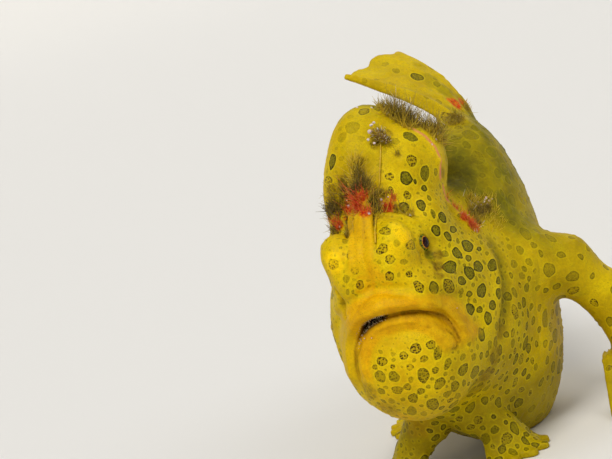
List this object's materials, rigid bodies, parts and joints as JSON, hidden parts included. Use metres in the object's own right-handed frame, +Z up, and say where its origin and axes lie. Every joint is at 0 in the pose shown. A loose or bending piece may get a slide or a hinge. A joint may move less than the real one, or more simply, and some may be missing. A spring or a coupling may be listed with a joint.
{
  "type": "frogfish",
  "caption": "Still life-size yellow frogfish resting on its belly, with arm-like pectoral fins, a humped third dorsal spine and a dorsal fin curled over its back.",
  "frame": {"origin": "middle of the flat under the belly, on the floor", "axes": "+Z up, -Y the way the head faces, +X the fish's left"},
  "size_m": [0.067, 0.117, 0.0744],
  "materials": {
    "skin_yellow": "satin yellow skin with ringed olive spots",
    "skin_olive": "satin olive-yellow skin of the back and flanks",
    "skin_brown": "matt red-brown skin grown with filaments",
    "fin_yellow": "satin yellow fin membrane over rays",
    "eye": "wet gloss"
  },
  "bodies": {
    "root": {"head": "skin_yellow", "lower_jaw": "skin_yellow", "eye_left": "eye", "eye_right": "eye", "illicium": "fin_yellow", "dorsal_spine_2": "skin_brown", "dorsal_spine_3": "skin_yellow", "trunk": "skin_olive", "tail": "skin_yellow", "dorsal_fin": "fin_yellow", "anal_fin": "fin_yellow", "caudal_fin": "fin_yellow", "pectoral_arm_left": "skin_yellow", "pectoral_arm_right": "skin_yellow", "pectoral_fin_left": "fin_yellow", "pectoral_fin_right": "fin_yellow", "pelvic_fin_left": "fin_yellow", "pelvic_fin_right": "fin_yellow"}
  },
  "joints": []
}
